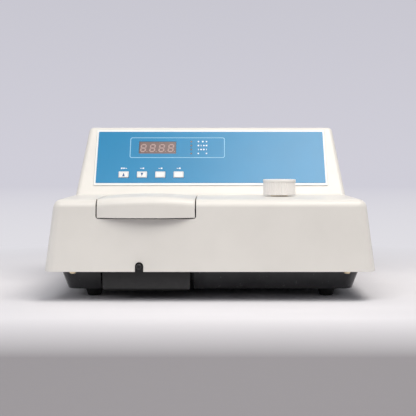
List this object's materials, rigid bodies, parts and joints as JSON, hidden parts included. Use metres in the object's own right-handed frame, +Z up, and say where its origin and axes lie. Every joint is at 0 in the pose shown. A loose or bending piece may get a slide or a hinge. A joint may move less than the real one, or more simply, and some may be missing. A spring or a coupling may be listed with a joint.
{
  "type": "benchtop fluorometer",
  "caption": "Benchtop instrument: wide moulded cover with a sloped control panel, hinged sample lid, fluted tuning knob and filter pull rod on a black footed base.",
  "frame": {"origin": "centre of the overall box, on the bench under the feet", "axes": "+Z up, +X to the user's right along the long side, -Y towards the user's side (the front)"},
  "size_m": [0.397, 0.318, 0.214],
  "materials": {
    "cover_plastic": "cream-white moulded shell, semi-gloss with a fine grain",
    "base_black": "black powder coat, satin",
    "chamber_black": "black anodised casting, satin",
    "rubber_black": "matt moulded rubber",
    "plate_white": "white sheet with a satin face",
    "overlay_blue": "printed blue membrane, satin",
    "display_tint": "smoked display face, glossy",
    "segment_pink": "unlit display segments",
    "lamp_amber": "tinted epoxy lamp",
    "key_white": "pale moulded key cap",
    "knob_white": "off-white moulded knob with a satin finish",
    "switch_black": "black moulded plastic",
    "rocker_red": "red rocker, glossy",
    "sheet_steel": "zinc-plated sheet",
    "screw_steel": "plated screws",
    "brass": "turned brass",
    "board_green": "solder-masked circuit board",
    "optic_black": "matt black anodised optics",
    "clear_glass": "polished glass",
    "grating_glass": "coated glass",
    "ceramic": "glazed lamp holder",
    "filter_violet": "coloured filter glass",
    "tube_grey": "grey metal shield",
    "coil_brown": "varnished transformer",
    "guide_grey": "low-friction slide guide"
  },
  "bodies": {
    "housing": {"top_cover": "cover_plastic", "base_tray": "base_black", "chassis_plate": "sheet_steel", "rubber_feet": "rubber_black", "foot_screws": "screw_steel", "cover_screws": "brass", "machine_screws": "screw_steel", "sample_chamber": "chamber_black", "chamber_surround": "chamber_black", "lid_gasket": "rubber_black", "hinge_pin": "sheet_steel", "hinge_brackets": "sheet_steel", "panel_plate": "plate_white", "panel_overlay": "overlay_blue", "display_module": "display_tint", "display_segments": "segment_pink", "display_board": "board_green", "board_pillars": "brass", "tact_switches": "switch_black", "status_leds": "lamp_amber", "knob_bush": "brass", "monochromator_case": "optic_black", "monochromator_cover": "optic_black", "slit_plates": "sheet_steel", "fold_mirror": "grating_glass", "mirror_mount": "optic_black", "lamp_house": "sheet_steel", "lamp_holder": "ceramic", "halogen_lamp": "clear_glass", "lens_barrels": "optic_black", "lenses": "clear_glass", "cuvette_holder": "chamber_black", "slide_guide": "guide_grey", "rod_bush": "switch_black", "pmt_shield": "tube_grey", "photomultiplier": "tube_grey", "main_board": "board_green", "power_transformer": "coil_brown", "rear_panel": "base_black", "fan_frame": "switch_black", "power_inlet": "switch_black", "switch_body": "switch_black", "fuse_holder": "switch_black"},
    "lid": {"sample_lid": "cover_plastic"},
    "key_1_body": {"key_1": "key_white"},
    "key_2_body": {"key_2": "key_white"},
    "key_3_body": {"key_3": "key_white"},
    "key_4_body": {"key_4": "key_white"},
    "knob": {"tuning_knob": "knob_white", "knob_shaft": "sheet_steel", "drive_pinion": "brass"},
    "grating": {"grating_sector": "brass", "grating_table": "optic_black", "diffraction_grating": "grating_glass"},
    "slide": {"filter_slide": "optic_black", "excitation_filters": "filter_violet", "slide_rod": "switch_black"},
    "fan": {"fan_rotor": "switch_black"},
    "rocker": {"power_rocker": "rocker_red"}
  },
  "joints": [
    {"name": "lid_hinge", "type": "hinge", "parent": "housing", "child": "lid", "pos_m": [-0.0765, -0.026, 0.1173], "axis": [-1, 0, 0], "range_deg": [0, 92]},
    {"name": "key_1_press", "type": "slide", "parent": "housing", "child": "key_1_body", "axis": [0, 0.8434, -0.5373], "range_m": [0, 0.0004], "stiffness_N_per_m": 800, "springref_m": -0.0004},
    {"name": "key_2_press", "type": "slide", "parent": "housing", "child": "key_2_body", "axis": [0, 0.8434, -0.5373], "range_m": [0, 0.0004], "stiffness_N_per_m": 800, "springref_m": -0.0004},
    {"name": "key_3_press", "type": "slide", "parent": "housing", "child": "key_3_body", "axis": [0, 0.8434, -0.5373], "range_m": [0, 0.0004], "stiffness_N_per_m": 800, "springref_m": -0.0004},
    {"name": "key_4_press", "type": "slide", "parent": "housing", "child": "key_4_body", "axis": [0, 0.8434, -0.5373], "range_m": [0, 0.0004], "stiffness_N_per_m": 800, "springref_m": -0.0004},
    {"name": "knob_turn", "type": "hinge", "parent": "housing", "child": "knob", "pos_m": [0.089, -0.049, 0.125], "axis": [0, 0, 1], "range_deg": [-100, 100]},
    {"name": "grating_turn", "type": "hinge", "parent": "housing", "child": "grating", "pos_m": [0.089, 0.0014, 0.075], "axis": [0, 0, 1], "range_deg": [-12.5, 12.5]},
    {"name": "filter_pull", "type": "slide", "parent": "housing", "child": "slide", "axis": [0, -1, 0], "range_m": [0, 0.02]},
    {"name": "fan_spin", "type": "hinge", "parent": "housing", "child": "fan", "pos_m": [-0.1115, 0.142, 0.075], "axis": [0, 1, 0], "continuous": true},
    {"name": "power_switch", "type": "hinge", "parent": "housing", "child": "rocker", "pos_m": [0.0485, 0.14862, 0.075], "axis": [1, 0, 0], "range_deg": [-16, 0]}
  ],
  "couplings": [
    {"joint": "grating_turn", "follows": "knob_turn", "ratio": -0.125}
  ]
}
